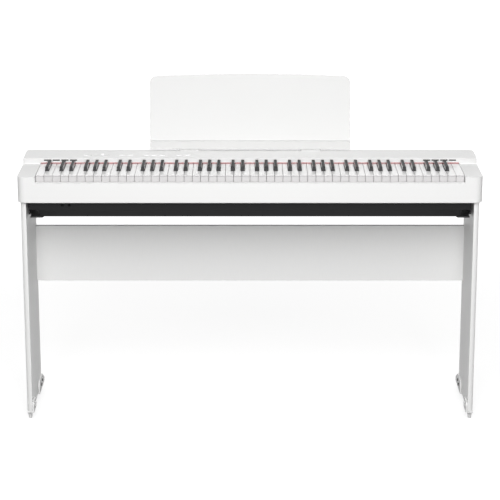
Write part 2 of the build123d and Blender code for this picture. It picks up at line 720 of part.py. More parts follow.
def panel_board():
    """Circuit board under the panel keys, held on four posts."""
    z = KEY_TOP + 4.5
    left = POWER_X - 24
    right = THIRD_GROUP_X + CAP_PITCH + 24
    board = slab(left, right, CONTROL_BACK - 14, CONTROL_BACK + 14, z, z + BOARD_THICK)
    for x in (left + 4, right - 4):
        for back in (CONTROL_BACK - 10, CONTROL_BACK + 10):
            board += slab(x - 2, x + 2, back - 2, back + 2, z, top_height(back - 2) - CASE_WALL - CAP_PLAY)
    return board


# Music rest

def music_rest():
    """Leaning panel with an arched top, ledge channel and two tongues."""
    foot = -LEDGE_HEIGHT / cos(LEAN)
    half = REST_WIDTH / 2
    shoulder = REST_SLANT - REST_ARCH
    outline = Curve() + [
        Line((half, foot), (-half, foot)),
        Line((-half, foot), (-half, shoulder)),
        ThreePointArc((-half, shoulder), (0, REST_SLANT), (half, shoulder)),
        Line((half, shoulder), (half, foot)),
    ]
    face = make_face(outline)
    face = fillet(face.vertices().sort_by(Axis.Y)[-2:], REST_CORNER)
    lean = Plane((0, FRONT + REST_FACE_BACK, LEDGE_TOP), x_dir=(1, 0, 0), z_dir=(0, -cos(LEAN), sin(LEAN)))
    panel = extrude(lean * face, amount=-REST_THICK)
    drift = LEDGE_HEIGHT * tan(LEAN)
    ledge = [
        (REST_BACK, LEDGE_FOOT), (REST_BACK, LEDGE_TOP), (REST_FACE_BACK, LEDGE_TOP),
        (REST_FACE_BACK, LEDGE_TOP - LEDGE_WALL), (REST_BACK + LEDGE_WALL, LEDGE_TOP - LEDGE_WALL),
        (REST_BACK + LEDGE_WALL, LEDGE_FOOT),
    ]
    ends = [
        (REST_BACK, LEDGE_FOOT), (REST_BACK, LEDGE_TOP), (REST_FACE_BACK, LEDGE_TOP),
        (REST_FACE_BACK - drift, LEDGE_FOOT),
    ]
    rest = panel + across(ledge, -half, half)
    for side in (-1, 1):
        rest += across(ends, *sorted((side * half, side * (half - LEDGE_WALL))))
        x = (side * TONGUE_X - REST_TONGUE / 2, side * TONGUE_X + REST_TONGUE / 2)
        rest += slab(*x, TONGUE_BACK_FACE, TONGUE_BACK_FACE + REST_TONGUE_THICK, TONGUE_TIP, LEDGE_TOP - 1)
    return rest


# Stand

def side_panel(side):
    """Side panel with eased upright edges."""
    panel = slab(*sorted((side * PANEL_IN, side * PANEL_OUT)), PANEL_BACK, PANEL_END, PANEL_FOOT, PANEL_TOP)
    return fillet(panel.edges().filter_by(Axis.Z), PANEL_ROUND)


def back_panel():
    """Cross panel between the sides."""
    panel = slab(-PANEL_IN, PANEL_IN, BRACE_BACK, BRACE_BACK + BRACE_THICK,
                 BRACE_TOP - BRACE_HEIGHT, BRACE_TOP)
    return chamfer(panel.edges().filter_by(Axis.X), 0.8)


def shoe(side, profile, corner, glide_back):
    """Shoe blocked out from its side profile, cut away for the panel, on a tapered many-sided glide."""
    inner = side * (PANEL_IN - SHOE_WALL)
    block = across(profile, *sorted((side * PANEL_OUT, inner)))
    block = fillet(block.edges().filter_by(Axis.X).group_by(Axis.Z)[-1], corner)
    block -= slab(*sorted((side * PANEL_IN, side * (PANEL_OUT + 1))), 0, PANEL_END, PANEL_FOOT, PANEL_TOP)
    x = side * (PANEL_OUT - PANEL_THICK / 2)
    foot = Pos(x, FRONT + glide_back, 0) * RegularPolygon(GLIDE_FOOT_R, GLIDE_SIDES)
    flare = degrees(atan2(GLIDE_TOP_R - GLIDE_FOOT_R, SOLE))
    return block + extrude(foot, amount=SOLE, taper=-flare)


def front_shoe(side):
    """Short shoe round the panel's front lower corner."""
    end = PANEL_BACK + FRONT_SHOE_LENGTH
    top = PANEL_FOOT + FRONT_SHOE_RISE
    profile = [(PANEL_BACK, SOLE), (PANEL_BACK, top), (end, top), (end, SOLE)]
    return shoe(side, profile, FRONT_SHOE_ROUND, PANEL_BACK + GLIDE_INSET)


def rear_shoe(side):
    """Long shoe that carries the panel's rear corner and reaches out behind it."""
    front = PANEL_END - REAR_SHOE_GRIP
    end = PANEL_END + REAR_SHOE_REACH
    top = PANEL_FOOT + REAR_SHOE_RISE
    profile = [
        (front, SOLE), (front, top), (PANEL_END - REAR_SHOE_BREAK, top), (end, SOLE + SHOE_TOE), (end, SOLE),
    ]
    return shoe(side, profile, REAR_SHOE_ROUND, end - GLIDE_INSET)


def bracket(side):
    """Bent steel angle: upright leg on the panel, shelf and front tongue under the tray."""
    end = BRACKET_BACK + BRACKET_LENGTH
    upright = sorted((side * PANEL_IN, side * (PANEL_IN - BRACKET_STEEL)))
    leg = slab(*upright, BRACKET_BACK, end, TRAY_FLOOR - BRACKET_STEEL, BASE - 2)
    outer = PANEL_IN - TONGUE_FROM_PANEL
    inner = outer - TONGUE_WIDTH
    cut = TONGUE_CHAMFER
    shelf = [
        (PANEL_IN, BRACKET_BACK), (outer, BRACKET_BACK), (outer, KEEL_FOOT_BACK),
        (inner + cut, KEEL_FOOT_BACK), (inner, KEEL_FOOT_BACK + cut), (inner, BRACKET_BACK),
        (PANEL_IN - BRACKET_REACH, BRACKET_BACK + cut), (PANEL_IN - BRACKET_REACH, end), (PANEL_IN, end),
    ]
    return leg + plan([(side * x, back) for x, back in shelf], TRAY_FLOOR - BRACKET_STEEL, TRAY_FLOOR)


def main():
    os.makedirs("parts", exist_ok=True)
    for note in NOTES:
        members = [i for i in range(KEY_COUNT) if note_name(i) == note]
        make = black_key if note.endswith("sharp") else white_key
        save("keys_" + note, group([make(i) for i in members]))
        save("hammers_" + note, group([hammer(i) for i in members]))
    for node, x in button_places().items():
        save(node, button(x))
    for name, side in (("left", -1), ("right", 1)):
        save(name + "_side_panel", side_panel(side))
        save(name + "_bracket", bracket(side))
        save(name + "_speaker", speaker(side * SPEAKER_X))
        save("front_" + name + "_shoe", front_shoe(side))
        save("rear_" + name + "_shoe", rear_shoe(side))
    singles = [
        upper_case, lower_case, key_frame, action_rods, stop_felts, felt_strip, contact_board, main_board,
        panel_board, rubber_feet, headphone_jacks, rear_jacks, volume_knob, music_rest, back_panel,
    ]
    for piece in singles:
        save(piece.__name__, piece())


main()
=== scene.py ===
# White digital piano on a panel stand: finishes, small fittings, light and camera.
# Metres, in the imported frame: +X is the player's right, +Y runs away from the player, +Z is up.

import json
import math

import bmesh
import bpy
from mathutils import Matrix, Vector


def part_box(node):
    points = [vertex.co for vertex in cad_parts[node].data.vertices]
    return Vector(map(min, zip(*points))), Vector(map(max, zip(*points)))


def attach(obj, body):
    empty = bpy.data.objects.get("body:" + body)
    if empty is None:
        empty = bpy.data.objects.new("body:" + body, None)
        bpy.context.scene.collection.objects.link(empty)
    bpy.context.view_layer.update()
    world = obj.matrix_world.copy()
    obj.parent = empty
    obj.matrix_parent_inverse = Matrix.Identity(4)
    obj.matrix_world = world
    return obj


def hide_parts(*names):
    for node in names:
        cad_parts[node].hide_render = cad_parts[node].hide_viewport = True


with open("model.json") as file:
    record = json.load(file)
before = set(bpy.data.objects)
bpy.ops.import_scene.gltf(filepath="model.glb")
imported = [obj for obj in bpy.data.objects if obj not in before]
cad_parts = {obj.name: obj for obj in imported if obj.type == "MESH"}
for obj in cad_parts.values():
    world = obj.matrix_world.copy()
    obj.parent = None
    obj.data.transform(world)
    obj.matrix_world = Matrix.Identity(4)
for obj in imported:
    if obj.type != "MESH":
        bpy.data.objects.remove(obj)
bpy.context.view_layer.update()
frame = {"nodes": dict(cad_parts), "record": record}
MM = 0.001
STAND = "stand_and_case"
ENDS = (("left", -1), ("right", 1))

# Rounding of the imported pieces' edges: a word in the node's name, and the radius
ROUNDED = (
    ("keys_", 0.4 * MM),
    ("upper_case", 0.9 * MM),
    ("lower_case", 0.9 * MM),
    ("music_rest", 1.2 * MM),
    ("back_panel", 0.5 * MM),
    ("shoe", 1.6 * MM),
    ("bracket", 0.9 * MM),
    ("button", 0.35 * MM),
    ("volume_knob", 0.6 * MM),
    ("rubber_feet", 1.0 * MM),
    ("jacks", 0.4 * MM),
    ("felt_strip", 0.4 * MM),
)
ROUND_STEPS = 2
PANEL_EDGE = 13.0 * MM
PANEL_STEPS = 8
PANEL_EASE = 1.0 * MM
CLOTH_EDGE = 0.2 * MM
TICK_EDGE = 0.02 * MM
WELD = 0.002 * MM
FLAT = math.radians(0.6)
CREASE = math.radians(24)
SMOOTH = math.radians(40)

# Profiles of turned heads and caps, as shares of their radius and height
SCREW_PROFILE = ((1.0, 0.0), (1.0, 0.45), (0.93, 0.75), (0.74, 1.0))
RECESS_ARM = 0.56
RECESS_HALF = 0.15
RECESS_LEVELS = (1.0, 0.35)
CAM_COVER_PROFILE = ((1.0, 0.0), (1.0, 0.5), (0.92, 1.0), (0.0, 1.25))
LENS_PROFILE = ((1.0, -1.0), (1.0, 0.0), (0.7, 0.3), (0.0, 0.4))
SCREW_POINTS = 20
TURNED_STEPS = 40

# Screws: radius and height of the head, and places back and up from a piece's front foot
SHOE_SCREW = (4.6 * MM, 2.2 * MM)
REAR_SHOE_SCREWS = ((43 * MM, 37 * MM), (67 * MM, 43 * MM))
FRONT_SHOE_SCREWS = ((20 * MM, 38 * MM), (42 * MM, 38 * MM))
BRACKET_SCREW = (5.0 * MM, 2.6 * MM)
BRACKET_SCREW_BACKS = (66 * MM, 160 * MM)
BRACKET_SCREW_RISE = 25 * MM
BRACKET_LEG = 4.0 * MM
HAND_SCREW = (8.0 * MM, 4.0 * MM)
HAND_SCREW_FROM_PANEL = 52 * MM
TRAY_SCREW = (3.4 * MM, 1.4 * MM)
TRAY_SCREW_PITCH = 165 * MM
TRAY_SCREW_STEPS = range(-3, 4)
TRAY_SCREW_INSET = 34 * MM
TRAY_SLOPE = 14 * MM

# Other small fittings
CAM_COVER_RADIUS = 9.0 * MM
CAM_COVER_HEIGHT = 1.4 * MM
CAM_COVER_FROM_END = 34 * MM
CAM_COVER_FROM_EDGE = 38 * MM
COLLAR_WIDTH = 1.7 * MM
COLLAR_PROUD = 0.9 * MM
COLLAR_INNER = 0.8 * COLLAR_PROUD
COLLAR_OUTER = 0.6 * COLLAR_PROUD
COLLAR_SLOPE = 0.25 * COLLAR_WIDTH
SOCKET_LENGTH = 14 * MM
PIN_RADIUS = 0.9 * MM
PIN_LENGTH = 9 * MM
LENS_RADIUS = 1.3 * MM
LENS_FROM_BUTTON = 15 * MM
BUTTON_PROUD = 1.3 * MM
TICK_COUNT = 11
TICK_SIZE = (0.4 * MM, 2.4 * MM, 0.08 * MM)
TICK_FROM_SLOT = 8 * MM
CLOTH_GAP = 0.4 * MM
CLOTH_THICK = 0.8 * MM

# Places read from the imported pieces
key_low, key_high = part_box("keys_c")
rest_low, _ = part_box("music_rest")
_, case_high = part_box("upper_case")
strip_low, strip_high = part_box("felt_strip")
LIP_HEIGHT = 3.0 * MM
LIP_FOOT = key_high.z - LIP_HEIGHT
# Height of the band of painted shadow under the key lip
LIP_SHADOW_BAND = 0.8 * MM
APRON_REACH = 2.0 * MM
APRON_END = key_low.y + APRON_REACH
LEDGE_HEIGHT = 51 * MM
LEDGE_RIM = rest_low.z + LEDGE_HEIGHT
FASCIA_FROM_KEYS = 50 * MM
FASCIA_START = key_low.y + FASCIA_FROM_KEYS
FASCIA_WALL = 3.0 * MM
STRIP_PROUD = 0.4 * MM
FASCIA_BACK = strip_low.y - STRIP_PROUD + FASCIA_WALL
PORT_FROM_END = 109 * MM
PORT_MIDDLE = case_high.x - PORT_FROM_END
PORT_HALF = 52 * MM
PORT_GAP = 0.2 * MM
PORT_LOW = strip_high.z + FASCIA_WALL + PORT_GAP
PORT_HEIGHT = 6.6 * MM
TOP_RISE = 3.5 * MM
TOP_DEPTH = 101 * MM
TOP_SLOPE = TOP_RISE / TOP_DEPTH
TOP_PANEL = case_high.z - TOP_SLOPE * case_high.y

# Finishes: cells to the metre, depths of relief, and how squarely a marked surface faces along an axis
CASE_GRAIN = 1400
CASE_RELIEF = 0.03 * MM
PLASTIC_DRIFT = 5
DRIFT_SHARE = 0.6
SHEEN_SWING = 0.12
PLAIN_GLOSS = 0.5
WEAVE = 260
FASCIA_FACING = 0.25
TOP_FACING = 0.9
FLANK_START = 0.15
FLANK_END = 0.5
TRACK_EDGE = 0.55

# Light: a large soft lamp in front, weak far lamps round it, and a sky with dark flags and a pale wall
SKY = 0.32
FLAG_DEPTH = 0.75
FLAG_START = 0.35
FLAG_END = 0.85
WALL = 0.4
WALL_START = 0.2
WALL_END = 0.6
WALL_TOP = 0.35
WALL_FADE = 0.65
LAMP_AIM = Vector((0, 0, 0.6))
LAMP_DISTANCE = 4.0
FRONT_POWER = 195
FRONT_SIZE = (2.4, 4.4)
FRONT_RISE_DEGREES = 29
# Far lamps: strength, turn from the front, height and softness in degrees, and whether gloss shows them
FAR_LAMPS = {
    "high_lamp": (0.34, 180, 80, 50, True),
    "rear_lamp": (1.5, 180, 5, 10, False),
    "left_lamp": (0.45, -90, 6, 10, False),
    "right_lamp": (0.45, 90, 6, 10, False),
}
FLOOR_SIZE = 60.0
FLOOR_GLOW = 0.78
FLOOR_BOUNCE = 0.12
FLOOR_NEAR = 1.2
FLOOR_FAR = 2.6

# Camera, fitted to the picture's lines, for a square picture 500 pixels wide
PICTURE_WIDTH = 500
FOCAL_PIXELS = 1900
SENSOR = 36.0
SIGHT = 100
CAMERA_PLACE = Vector((0, -5.418, 1.979))
CAMERA_PITCH = math.radians(15.52)


class Socket:
    """A shader output that can stand in sums: arithmetic on it adds Math nodes."""

    def __init__(self, finish, output):
        self.finish = finish
        self.output = output

    def maths(self, operation, first, second):
        return self.finish.node("ShaderNodeMath", {"operation": operation}, {0: first, 1: second})

    def __add__(self, other):
        return self.maths("ADD", self, other)

    def __radd__(self, other):
        return self.maths("ADD", other, self)

    def __sub__(self, other):
        return self.maths("SUBTRACT", self, other)

    def __rsub__(self, other):
        return self.maths("SUBTRACT", other, self)

    def __mul__(self, other):
        return self.maths("MULTIPLY", self, other)

    def __rmul__(self, other):
        return self.maths("MULTIPLY", other, self)

    def __gt__(self, other):
        return self.maths("GREATER_THAN", self, other)

    def __abs__(self):
        return self.maths("ABSOLUTE", self, 0)

    def larger(self, other):
        return self.maths("MAXIMUM", self, other)


class Finish:
    """A node tree in the making, for a material or the sky."""

    def __init__(self, owner):
        owner.use_nodes = True
        self.owner = owner
        self.tree = owner.node_tree
        self.tree.nodes.clear()

    def node(self, kind, settings=None, sockets=None, output=0):
        """Adds a node, sets it up, feeds its sockets and gives one of its outputs."""
        made = self.tree.nodes.new(kind)
        for name, value in (settings or {}).items():
            setattr(made, name, value)
        for name, value in (sockets or {}).items():
            if isinstance(value, Socket):
                self.tree.links.new(value.output, made.inputs[name])
            else:
                made.inputs[name].default_value = value
        return Socket(self, made.outputs[output]) if made.outputs else made

    def place(self, stretch=(1, 1, 1)):
        """Object coordinates, stretched along the three axes."""
        spot = self.node("ShaderNodeTexCoord", output="Object")
        return self.node("ShaderNodeMapping", None, {"Vector": spot, "Scale": stretch})

    def noise(self, scale, detail=2.0, stretch=(1, 1, 1)):
        """Cloudy pattern from 0 to 1, so many cells to the metre."""
        sockets = {"Vector": self.place(stretch), "Scale": scale, "Detail": detail}
        return self.node("ShaderNodeTexNoise", None, sockets)

    def cells(self, scale):
        """Distance from the middle of scattered cells."""
        return self.node("ShaderNodeTexVoronoi", None, {"Vector": self.place(), "Scale": scale}, "Distance")

    def threads(self, direction, scale):
        """Even waves from 0 to 1 along an axis."""
        settings = {"bands_direction": direction}
        return self.node("ShaderNodeTexWave", settings, {"Vector": self.place(), "Scale": scale})

    def along(self, axis):
        """One of the object coordinates, in metres."""
        spot = self.node("ShaderNodeTexCoord", output="Object")
        return self.node("ShaderNodeSeparateXYZ", None, {0: spot}, axis)

    def faces(self, axis):
        """How far the surface faces along an axis, from -1 to 1."""
        normal = self.node("ShaderNodeNewGeometry", output="Normal")
        return self.node("ShaderNodeSeparateXYZ", None, {0: normal}, axis)

    def level(self, value, start, end):
        """Smooth step from 0 at one value to 1 at another."""
        settings = {"interpolation_type": "SMOOTHSTEP"}
        return self.node("ShaderNodeMapRange", settings, {"Value": value, "From Min": start, "From Max": end})

    def mix(self, share, first, second):
        """Colour between two colours."""
        settings = {"data_type": "RGBA"}
        return self.node("ShaderNodeMix", settings, {0: share, 6: first, 7: second}, 2)

    def bump(self, height, depth):
        """Surface relief from a height of 0 to 1, so many metres deep."""
        return self.node("ShaderNodeBump", None, {"Height": height, "Distance": depth})

    def surface(self, sockets):
        """Ends the tree in the main shader."""
        shader = self.node("ShaderNodeBsdfPrincipled", None, sockets)
        self.node("ShaderNodeOutputMaterial", None, {"Surface": shader})
        return self.owner


def tone(red, green=None, blue=None):
    """A linear colour, grey if only one value is given."""
    if green is None:
        return (red, red, red, 1.0)
    return (red, green, blue, 1.0)


def finish(name):
    """Starts a new material."""
    return Finish(bpy.data.materials.new(name))


# Finishes

def moulded(name, tones, grain, depth, rough, gloss=PLAIN_GLOSS, shade_patch=None):
    """Moulded plastic: fine spark grain, slow drift between two tones and an uneven sheen.

    A shade patch is a mask and the two tones of painted shade on the surface that it picks out.
    """
    f = finish(name)
    slow = f.noise(PLASTIC_DRIFT, 3)
    fine = f.noise(grain)
    share = slow * DRIFT_SHARE + fine * (1 - DRIFT_SHARE)
    colour = f.mix(share, *tones)
    # Painted shade where the shade patch's mask is 1
    if shade_patch:
        mask, shade_tones = shade_patch
        colour = f.mix(mask(f), colour, f.mix(share, *shade_tones))
    return f.surface({
        "Base Color": colour,
        "Roughness": rough - SHEEN_SWING / 2 + SHEEN_SWING * slow,
        "Specular IOR Level": gloss,
        "Normal": f.bump(fine, depth),
    })


def fascia_shade_mask(f):
    """1 on the fascia behind the keys, which faces forward and gets painted shade, and 0 elsewhere."""
    behind = (f.along("Z") > strip_low.z) * (f.along("Y") > FASCIA_START)
    return behind * (f.faces("Y") * -1 > FASCIA_FACING)


def over_ledge(f):
    """1 on the panel of the music rest and 0 on its ledge."""
    return f.along("Z") > LEDGE_RIM


def case_white():
    """White case plastic, with painted shade on the fascia behind the keys: a greyer copy of the same plastic
    there.
    """
    case = (tone(0.79, 0.79, 0.785), tone(0.83, 0.83, 0.825))
    # Painted shade: darker tones of the case's white on the forward face of the fascia
    fascia = (tone(0.67, 0.67, 0.665), tone(0.71, 0.71, 0.705))
    return moulded("case_white", case, CASE_GRAIN, CASE_RELIEF, 0.46, 0.08, (fascia_shade_mask, fascia))


def rest_white_painted_shade():
    """The case's plastic in darker tones as painted shade, with the ledge under the sheets darker still as
    more painted shade.
    """
    # Painted shade: both pairs are greyer than the case's white, and the ledge's pair is the greyest
    ledge = (tone(0.61, 0.61, 0.605), tone(0.64, 0.64, 0.635))
    panel = (tone(0.665, 0.665, 0.66), tone(0.705, 0.705, 0.70))
    return moulded("rest_white_painted_shade", ledge, CASE_GRAIN, CASE_RELIEF, 0.50, 0.2, (over_ledge, panel))


def tray_black():
    """Black plastic of the lower case."""
    tones = (tone(0.009, 0.009, 0.010), tone(0.014, 0.014, 0.015))
    return moulded("tray_black", tones, 1100, 0.05 * MM, 0.55, 0.12)


def control_white():
    """Smoother white plastic of the buttons and the slider knob."""
    return moulded("control_white", (tone(0.79), tone(0.84)), 2200, 0.02 * MM, 0.38)


def frame_grey():
    """Grey plastic of the key frame."""
    return moulded("frame_grey", (tone(0.20), tone(0.26)), 700, 0.04 * MM, 0.55)


def hammer_coat():
    """Dark coat of the weighted hammers."""
    return moulded("hammer_coat", (tone(0.04), tone(0.07)), 900, 0.03 * MM, 0.5)


def speaker_coat():
    """Black stamped basket with a dull paper cone."""
    return moulded("speaker_coat", (tone(0.016), tone(0.028)), 500, 0.08 * MM, 0.6, 0.35)


def board_laminate(name, edge):
    """White laminate on board: faint upright grain, a satin sheen and a given grey on the faces that look up,
    which is painted shade on the cross panel.
    """
    f = finish(name)
    grain = f.noise(34, 4, (6, 6, 1))
    pores = f.noise(420, 2, (3, 3, 0.4))
    slow = f.noise(2.5)
    white = f.mix(slow * 0.5 + grain * 0.5, tone(0.795, 0.795, 0.79), tone(0.85, 0.85, 0.845))
    return f.surface({
        "Base Color": f.mix(f.faces("Z") > TOP_FACING, white, tone(edge)),
        "Roughness": 0.36 + 0.12 * grain,
        "Normal": f.bump(grain * 0.6 + pores * 0.4, 0.05 * MM),
    })


def key_white():
    """Satin gloss key top with a fine grain, over an apron in painted shade with a painted shadow line under
    the lip.
    """
    f = finish("key_white")
    slow = f.noise(14)
    grain = f.noise(900, 2, (1, 0.25, 1))
    worn = f.noise(60, 3, (1, 0.3, 1))
    top = f.mix(slow * 0.5 + worn * 0.5, tone(0.89, 0.885, 0.88), tone(0.91, 0.905, 0.90))
    # Painted shade: the apron is a greyer copy of the key's white
    apron_painted_shade = f.mix(slow, tone(0.515, 0.505, 0.507), tone(0.545, 0.535, 0.537))
    height = f.along("Z")
    # Painted shadow: a dark band just under the lip, where the lip's shadow falls
    lip_shadow = (height > LIP_FOOT - LIP_SHADOW_BAND) - (height > LIP_FOOT)
    apron_painted_shade = f.mix(lip_shadow, apron_painted_shade, tone(0.3))
    return f.surface({
        "Base Color": f.mix(f.along("Y") > APRON_END, apron_painted_shade, top),
        "Roughness": 0.26 + 0.06 * worn,
        "Coat Weight": 0.6 + 0.1 * slow,
        "Coat Roughness": 0.15,
        "Normal": f.bump(grain, 0.012 * MM),
    })


def key_black():
    """Matt crown and front with a fine grain, and polished flanks."""
    f = finish("key_black")
    grain = f.noise(1300, 3, (1, 0.35, 1))
    rubbed = f.noise(45, 3, (1, 0.4, 1))
    sideways = f.faces("X")
    flank = f.level(sideways * sideways, FLANK_START, FLANK_END)
    return f.surface({
        "Base Color": f.mix(rubbed, tone(0.008, 0.008, 0.009), tone(0.016, 0.016, 0.017)),
        "Roughness": 0.60 - 0.12 * rubbed,
        "Specular IOR Level": 0.12,
        "Coat Weight": 0.12 + 0.78 * flank,
        "Coat Roughness": 0.12,
        "Normal": f.bump(grain, 0.03 * MM),
    })


def bracket_coat():
    """Black powder coat with its orange-peel skin."""
    f = finish("bracket_coat")
    peel = f.noise(650)
    dust = f.noise(9, 3)
    return f.surface({
        "Base Color": f.mix(dust, tone(0.012, 0.012, 0.013), tone(0.022, 0.022, 0.023)),
        "Roughness": 0.40 + 0.14 * dust,
        "Specular IOR Level": 0.4,
        "Normal": f.bump(peel, 0.06 * MM),
    })


def drawn_steel(name, light, dark, rough):
    """Bare or blacked steel with drawing marks along X."""
    f = finish(name)
    lines = f.noise(1600, 3, (0.03, 1, 1))
    slow = f.noise(20)
    return f.surface({
        "Base Color": f.mix(slow * 0.5 + lines * 0.5, dark, light),
        "Metallic": 1.0,
        "Roughness": rough + 0.12 * lines,
        "Normal": f.bump(lines, 0.01 * MM),
    })


def felt(name, light, dark):
    """Pressed felt: tangled fibres and a soft nap."""
    f = finish(name)
    fibres = f.noise(2600, 4, (0.5, 1, 1))
    tufts = f.noise(420, 3)
    return f.surface({
        "Base Color": f.mix(fibres * 0.6 + tufts * 0.4, dark, light),
        "Roughness": 0.86 + 0.1 * tufts,
        "Specular IOR Level": 0.2,
        "Sheen Weight": 0.35,
        "Normal": f.bump(fibres * 0.5 + tufts * 0.5, 0.25 * MM),
    })


def board_green():
    """Solder mask over a maze of tracks."""
    f = finish("board_green")
    tracks = f.cells(230) > TRACK_EDGE
    slow = f.noise(30)
    mask = f.mix(slow, tone(0.010, 0.075, 0.028), tone(0.018, 0.11, 0.042))
    return f.surface({
        "Base Color": f.mix(tracks, mask, tone(0.035, 0.16, 0.07)),
        "Roughness": 0.30 + 0.15 * slow,
        "Normal": f.bump(tracks, 0.04 * MM),
    })


def pad_rubber():
    """Matt rubber with a bloom."""
    f = finish("pad_rubber")
    bloom = f.noise(80, 4)
    skin = f.noise(900)
    return f.surface({
        "Base Color": f.mix(bloom, tone(0.016), tone(0.034)),
        "Roughness": 0.72 + 0.14 * bloom,
        "Specular IOR Level": 0.3,
        "Normal": f.bump(skin, 0.05 * MM),
    })


def port_cloth():
    """Black woven cloth behind the sound ports."""
    f = finish("port_cloth")
    weave = f.threads("X", WEAVE) * f.threads("Z", WEAVE)
    return f.surface({
        "Base Color": f.mix(weave, tone(0.004), tone(0.024)),
        "Roughness": 0.85 - 0.1 * weave,
        "Specular IOR Level": 0.2,
        "Normal": f.bump(weave, 0.2 * MM),
    })


def lamp_lens():
    """Unlit green lamp lens."""
    f = finish("lamp_lens")
    depth = f.cells(1500)
    return f.surface({
        "Base Color": f.mix(depth, tone(0.05, 0.16, 0.07), tone(0.12, 0.30, 0.15)),
        "Roughness": 0.12 + 0.1 * depth,
    })


def tick_ink():
    """Grey print on the top panel."""
    f = finish("tick_ink")
    speck = f.noise(3000)
    return f.surface({
        "Base Color": f.mix(speck, tone(0.16), tone(0.22)),
        "Roughness": 0.5 + 0.1 * speck,
    })


def seen(f):
    """1 on rays to the camera, straight or by a mirror or glass, and 0 on light that falls on the piece."""
    rays = ("Is Camera Ray", "Is Glossy Ray", "Is Transmission Ray")
    camera, mirror, glass = (f.node("ShaderNodeLightPath", output=ray) for ray in rays)
    return camera.larger(mirror).larger(glass)


def floor_white():
    """Pale floor that reads as white, throws little light back and keeps the soft shadow."""
    f = finish("floor_white")
    slow = f.noise(0.8)
    across, away = f.along("X"), f.along("Y")
    far = f.level(across * across + away * away, FLOOR_NEAR ** 2, FLOOR_FAR ** 2)
    pale = f.mix(slow, tone(0.29), tone(0.31))
    return f.surface({
        "Base Color": f.mix(seen(f), tone(FLOOR_BOUNCE), pale),
        "Roughness": 0.9 + 0.05 * slow,
        "Specular IOR Level": 0.0,
        "Emission Color": seen(f) * (FLOOR_GLOW + (1 - FLOOR_GLOW) * far),
        "Emission Strength": 1.0,
    })


# Shapes

def piece_from(name, shape):
    """Turns a finished bmesh into an object with smooth rounds and crisp creases."""
    bmesh.ops.recalc_face_normals(shape, faces=shape.faces)
    mesh = bpy.data.meshes.new(name)
    shape.to_mesh(mesh)
    shape.free()
    mesh.shade_smooth()
    mesh.set_sharp_from_angle(angle=SMOOTH)
    made = bpy.data.objects.new(name, mesh)
    bpy.context.scene.collection.objects.link(made)
    return made


def even_piece(name, shape):
    """Object whose large faces keep their shading flat beside rounded edges."""
    made = piece_from(name, shape)
    made.modifiers.new("even_faces", "WEIGHTED_NORMAL").keep_sharp = True
    return made


def creases(shape):
    """Edges where two faces meet at a clear angle."""
    return [e for e in shape.edges if e.is_manifold and e.calc_face_angle() > CREASE]


def ease(shape, edges, radius, steps=ROUND_STEPS):
    """Rounds edges over."""
    bmesh.ops.bevel(
        shape, geom=edges, offset=radius, offset_type="OFFSET", affect="EDGES", segments=steps,
        profile=0.5, material=-1, clamp_overlap=True,
    )


def cube(shape, low, high):
    """Plain block between two corners."""
    size = Vector(high) - Vector(low)
    middle = (Vector(high) + Vector(low)) / 2
    place = Matrix.Translation(middle) @ Matrix.Diagonal((*size, 1))
    return bmesh.ops.create_cube(shape, size=1, matrix=place)["verts"]


def block(shape, low, high, edge):
    """Block between two corners with rounded edges."""
    verts = cube(shape, low, high)
    ease(shape, list({e for v in verts for e in v.link_edges}), edge)


def rounded_copy(node, radius):
    """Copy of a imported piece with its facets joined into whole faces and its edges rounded."""
    shape = bmesh.new()
    shape.from_mesh(frame["nodes"][node].data)
    bmesh.ops.remove_doubles(shape, verts=shape.verts, dist=WELD)
    bmesh.ops.dissolve_limit(shape, angle_limit=FLAT, verts=shape.verts, edges=shape.edges)
    ease(shape, creases(shape), radius)
    return even_piece(node + "_rounded", shape)


def panel_copy(node):
    """Side panel whose outer upright edges are well rounded."""
    low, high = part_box(node)
    outer = low.x if low.x < 0 else high.x
    shape = bmesh.new()
    cube(shape, low, high)
    upright = [e for e in shape.edges if all(abs(v.co.x - outer) < WELD for v in e.verts)]
    upright = [e for e in upright if abs(e.verts[0].co.z - e.verts[1].co.z) > WELD]
    ease(shape, upright, PANEL_EDGE, PANEL_STEPS)
    ease(shape, creases(shape), PANEL_EASE)
    return even_piece(node + "_rounded", shape)


def shown_copy(node):
    """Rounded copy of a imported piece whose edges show, and nothing for the others."""
    if "side_panel" in node:
        return panel_copy(node)
    radius = next((size for word, size in ROUNDED if word in node), None)
    return rounded_copy(node, radius) if radius else None


def add_piece(name, shape, material):
    """A new fitting, its finish and the body that it rides on."""
    made = piece_from(name, shape)
    made.data.materials.append(material)
    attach(made, STAND)


def facing(place, direction):
    """Seat whose own Z points along a direction."""
    turn = Vector(direction).to_track_quat("Z", "Y").to_matrix().to_4x4()
    return Matrix.Translation(place) @ turn


def round_loop(shape, seat, radius, height):
    """Round loop of edges over a seat."""
    made = bmesh.ops.create_circle(
        shape, segments=SCREW_POINTS, radius=radius, matrix=seat @ Matrix.Translation((0, 0, height))
    )
    return list({e for v in made["verts"] for e in v.link_edges})


def cross_loop(shape, seat, radius, height):
    """Cross-shaped loop of edges, the mouth of a recess in a screw head of a given radius."""
    arm, half = RECESS_ARM * radius, RECESS_HALF * radius
    verts = []
    for quarter in range(4):
        turn = Matrix.Rotation(quarter * math.pi / 2, 4, "Z")
        for corner in ((arm, -half), (arm, half), (half, half)):
            verts.append(shape.verts.new(seat @ turn @ Vector((*corner, height))))
    return [shape.edges.new(pair) for pair in zip(verts, verts[1:] + verts[:1])]


def bridge(shape, loops):
    """Joins a row of edge loops by faces and closes the last one."""
    for first, second in zip(loops, loops[1:]):
        bmesh.ops.bridge_loops(shape, edges=first + second)
    bmesh.ops.edgeloop_fill(shape, edges=loops[-1])


def scaled(profile, radius, height):
    """Profile at its real radius and height."""
    return [(across * radius, up * height) for across, up in profile]


